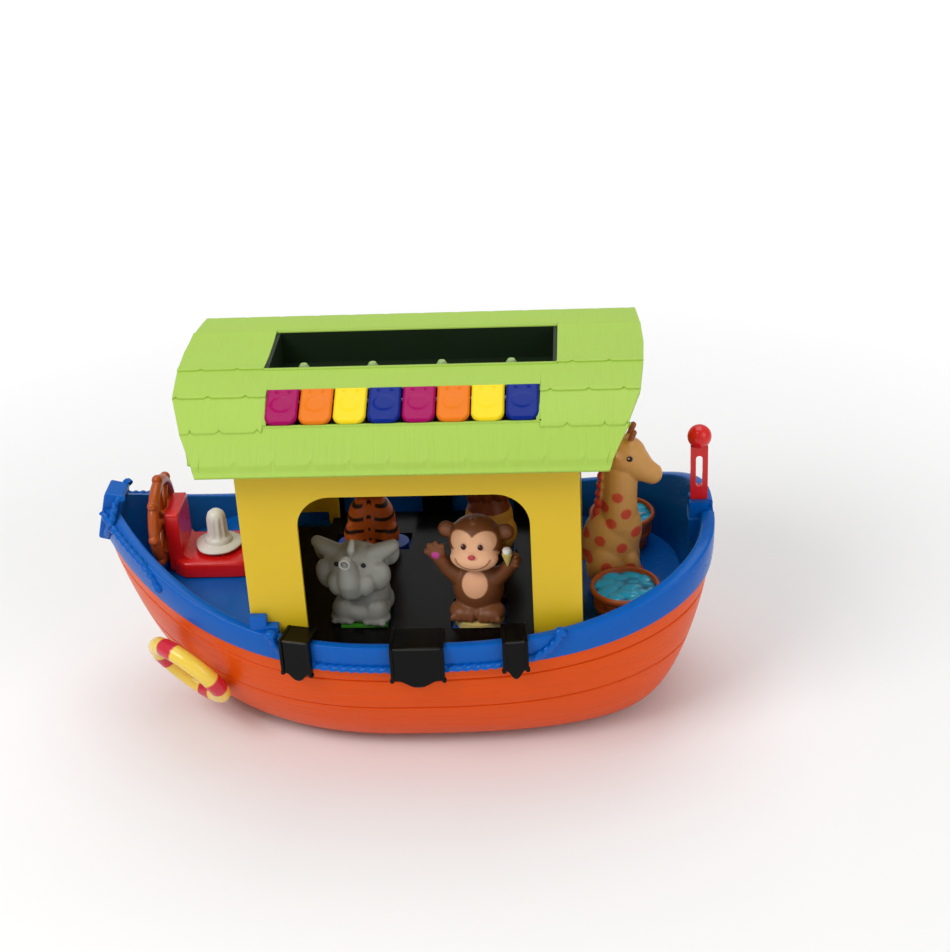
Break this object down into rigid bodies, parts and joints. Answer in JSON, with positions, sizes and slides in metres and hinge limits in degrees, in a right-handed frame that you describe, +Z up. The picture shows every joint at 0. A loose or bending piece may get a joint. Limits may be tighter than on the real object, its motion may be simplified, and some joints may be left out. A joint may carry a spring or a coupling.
{
  "type": "toy ark",
  "caption": "Toy ark on wheels: planked hull, arched cabin, shingled roof with press keys and plungers, turning helm, seat button, swinging stern lever and lift-out animal figures",
  "frame": {"origin": "on the floor under the middle of the bounding box", "axes": "+X to the stern, -X to the bow, -Y to port (the keyed side), +Z up"},
  "size_m": [0.3797, 0.2086, 0.2358],
  "materials": {
    "hull_orange": "moulded, satin gloss",
    "deck_blue": "moulded, satin gloss",
    "cabin_yellow": "moulded, satin gloss",
    "roof_green": "moulded with wood grain",
    "dark_green": "moulded, dark",
    "pale_green": "moulded",
    "helm_red": "moulded, glossy",
    "wheel_brown": "moulded",
    "peg_white": "moulded",
    "ring_yellow": "moulded and painted",
    "tub_brown": "moulded",
    "water_teal": "moulded and painted",
    "black": "moulded",
    "key_magenta": "moulded",
    "key_orange": "moulded",
    "key_yellow": "moulded",
    "key_blue": "moulded",
    "steel": "drawn",
    "board": "laminate",
    "mat_rubber": "moulded",
    "cell_dark": "sleeved",
    "tyre_black": "moulded",
    "elephant_grey": "soft vinyl, painted",
    "monkey_brown": "soft vinyl, painted",
    "giraffe_tan": "soft vinyl, painted",
    "tiger_orange": "soft vinyl, painted",
    "lion_gold": "soft vinyl, painted",
    "base_green": "moulded",
    "base_cream": "moulded",
    "base_red": "moulded",
    "base_blue": "moulded",
    "base_amber": "moulded"
  },
  "bodies": {
    "ark": {"hull_shell": "hull_orange", "deck": "deck_blue", "cabin": "cabin_yellow", "roof_shell": "roof_green", "roof_ceiling": "cabin_yellow", "recess_liner": "dark_green", "helm_console": "helm_red", "lever_bracket": "deck_blue", "lever_pin": "steel", "life_ring_port": "ring_yellow", "life_ring_starboard": "ring_yellow", "tub_port": "tub_brown", "tub_starboard": "tub_brown", "tub_water": "water_teal", "figure_tray": "black", "key_rod": "steel", "key_frame": "black", "circuit_board": "board", "switch_mat": "mat_rubber", "speaker": "black", "axle_bracket_fore": "black", "axle_bracket_aft": "black", "bracket_screws": "steel", "battery_box": "black", "battery_door": "hull_orange", "door_screw": "steel", "battery_cells": "cell_dark", "battery_contacts": "steel"},
    "helm": {"steering_wheel": "wheel_brown", "steering_shaft": "steel"},
    "seat": {"seat_button": "peg_white"},
    "lever": {"stern_lever": "helm_red"},
    "fore_wheelset": {"axle_fore": "steel", "wheels_fore": "tyre_black"},
    "aft_wheelset": {"axle_aft": "steel", "wheels_aft": "tyre_black"},
    "switch": {"power_switch": "black"},
    "key_1": {"key_1": "key_magenta"},
    "key_2": {"key_2": "key_orange"},
    "key_3": {"key_3": "key_yellow"},
    "key_4": {"key_4": "key_blue"},
    "key_5": {"key_5": "key_magenta"},
    "key_6": {"key_6": "key_orange"},
    "key_7": {"key_7": "key_yellow"},
    "key_8": {"key_8": "key_blue"},
    "plunger_1": {"plunger_1": "pale_green"},
    "plunger_2": {"plunger_2": "pale_green"},
    "plunger_3": {"plunger_3": "pale_green"},
    "plunger_4": {"plunger_4": "pale_green"},
    "elephant": {"elephant_body": "elephant_grey", "elephant_base": "base_green"},
    "monkey": {"monkey_body": "monkey_brown", "monkey_base": "base_cream"},
    "giraffe": {"giraffe_body": "giraffe_tan", "giraffe_base": "base_red"},
    "tiger": {"tiger_body": "tiger_orange", "tiger_base": "base_blue"},
    "lion": {"lion_body": "lion_gold", "lion_base": "base_amber"}
  },
  "joints": [
    {"name": "helm_turn", "type": "hinge", "parent": "ark", "child": "helm", "pos_m": [-0.1505, 0, 0.1225], "axis": [1, 0, 0], "continuous": true},
    {"name": "seat_press", "type": "slide", "parent": "ark", "child": "seat", "axis": [0, 0, 1], "range_m": [-0.0015, 0], "stiffness_N_per_m": 300, "springref_m": 0.002},
    {"name": "lever_swing", "type": "hinge", "parent": "ark", "child": "lever", "pos_m": [0.181, 0, 0.1266], "axis": [0, 1, 0], "range_deg": [-20, 20]},
    {"name": "fore_roll", "type": "hinge", "parent": "ark", "child": "fore_wheelset", "pos_m": [-0.075, 0, 0.013], "axis": [0, 1, 0], "continuous": true},
    {"name": "aft_roll", "type": "hinge", "parent": "ark", "child": "aft_wheelset", "pos_m": [0.085, 0, 0.013], "axis": [0, 1, 0], "continuous": true},
    {"name": "switch_slide", "type": "slide", "parent": "ark", "child": "switch", "axis": [1, 0, 0], "range_m": [-0.003, 0.003]},
    {"name": "key_1_press", "type": "hinge", "parent": "ark", "child": "key_1", "pos_m": [-0.0563, -0.05459, 0.22653], "axis": [1, 0, 0], "range_deg": [0, 3.5], "stiffness_Nm_per_rad": 0.1, "springref_deg": -1.72},
    {"name": "key_2_press", "type": "hinge", "parent": "ark", "child": "key_2", "pos_m": [-0.037, -0.05459, 0.22653], "axis": [1, 0, 0], "range_deg": [0, 3.5], "stiffness_Nm_per_rad": 0.1, "springref_deg": -1.72},
    {"name": "key_3_press", "type": "hinge", "parent": "ark", "child": "key_3", "pos_m": [-0.0177, -0.05459, 0.22653], "axis": [1, 0, 0], "range_deg": [0, 3.5], "stiffness_Nm_per_rad": 0.1, "springref_deg": -1.72},
    {"name": "key_4_press", "type": "hinge", "parent": "ark", "child": "key_4", "pos_m": [0.0016, -0.05459, 0.22653], "axis": [1, 0, 0], "range_deg": [0, 3.5], "stiffness_Nm_per_rad": 0.1, "springref_deg": -1.72},
    {"name": "key_5_press", "type": "hinge", "parent": "ark", "child": "key_5", "pos_m": [0.0209, -0.05459, 0.22653], "axis": [1, 0, 0], "range_deg": [0, 3.5], "stiffness_Nm_per_rad": 0.1, "springref_deg": -1.72},
    {"name": "key_6_press", "type": "hinge", "parent": "ark", "child": "key_6", "pos_m": [0.0402, -0.05459, 0.22653], "axis": [1, 0, 0], "range_deg": [0, 3.5], "stiffness_Nm_per_rad": 0.1, "springref_deg": -1.72},
    {"name": "key_7_press", "type": "hinge", "parent": "ark", "child": "key_7", "pos_m": [0.0595, -0.05459, 0.22653], "axis": [1, 0, 0], "range_deg": [0, 3.5], "stiffness_Nm_per_rad": 0.1, "springref_deg": -1.72},
    {"name": "key_8_press", "type": "hinge", "parent": "ark", "child": "key_8", "pos_m": [0.0788, -0.05459, 0.22653], "axis": [1, 0, 0], "range_deg": [0, 3.5], "stiffness_Nm_per_rad": 0.1, "springref_deg": -1.72},
    {"name": "plunger_1_press", "type": "slide", "parent": "ark", "child": "plunger_1", "axis": [0, 0, 1], "range_m": [-0.0018, 0], "stiffness_N_per_m": 200, "springref_m": 0.002},
    {"name": "plunger_2_press", "type": "slide", "parent": "ark", "child": "plunger_2", "axis": [0, 0, 1], "range_m": [-0.0018, 0], "stiffness_N_per_m": 200, "springref_m": 0.002},
    {"name": "plunger_3_press", "type": "slide", "parent": "ark", "child": "plunger_3", "axis": [0, 0, 1], "range_m": [-0.0018, 0], "stiffness_N_per_m": 200, "springref_m": 0.002},
    {"name": "plunger_4_press", "type": "slide", "parent": "ark", "child": "plunger_4", "axis": [0, 0, 1], "range_m": [-0.0018, 0], "stiffness_N_per_m": 200, "springref_m": 0.002},
    {"name": "elephant_lift", "type": "slide", "parent": "ark", "child": "elephant", "axis": [0, 0, 1], "range_m": [0, 0.024]},
    {"name": "monkey_lift", "type": "slide", "parent": "ark", "child": "monkey", "axis": [0, 0, 1], "range_m": [0, 0.024]},
    {"name": "giraffe_lift", "type": "slide", "parent": "ark", "child": "giraffe", "axis": [0, 0, 1], "range_m": [0, 0.024]},
    {"name": "tiger_lift", "type": "slide", "parent": "ark", "child": "tiger", "axis": [0, 0, 1], "range_m": [0, 0.024]},
    {"name": "lion_lift", "type": "slide", "parent": "ark", "child": "lion", "axis": [0, 0, 1], "range_m": [0, 0.024]}
  ]
}
